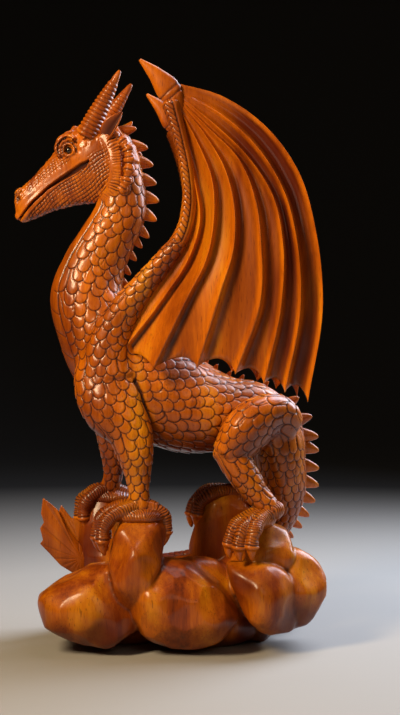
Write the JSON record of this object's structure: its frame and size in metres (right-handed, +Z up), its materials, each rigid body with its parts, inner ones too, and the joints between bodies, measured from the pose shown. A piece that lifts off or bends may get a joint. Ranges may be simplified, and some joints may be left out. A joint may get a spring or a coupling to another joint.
{
  "type": "wooden dragon carving",
  "caption": "Winged dragon carved in one piece with the rocks it grips, standing on a flat underside; a shelf or table ornament with inset eye beads.",
  "frame": {"origin": "on the flat underside of the rocks, below the middle of the base", "axes": "+Z up; the dragon faces -X, so its left side faces -Y"},
  "size_m": [0.3088, 0.1886, 0.5658],
  "materials": {
    "carved_wood": "orange-brown hardwood under clear gloss lacquer, darker in the cuts",
    "eye_beads": "glossy black bead"
  },
  "bodies": {
    "root": {"dragon_on_rocks": "carved_wood", "left_eye_bead": "eye_beads", "right_eye_bead": "eye_beads"}
  },
  "joints": []
}
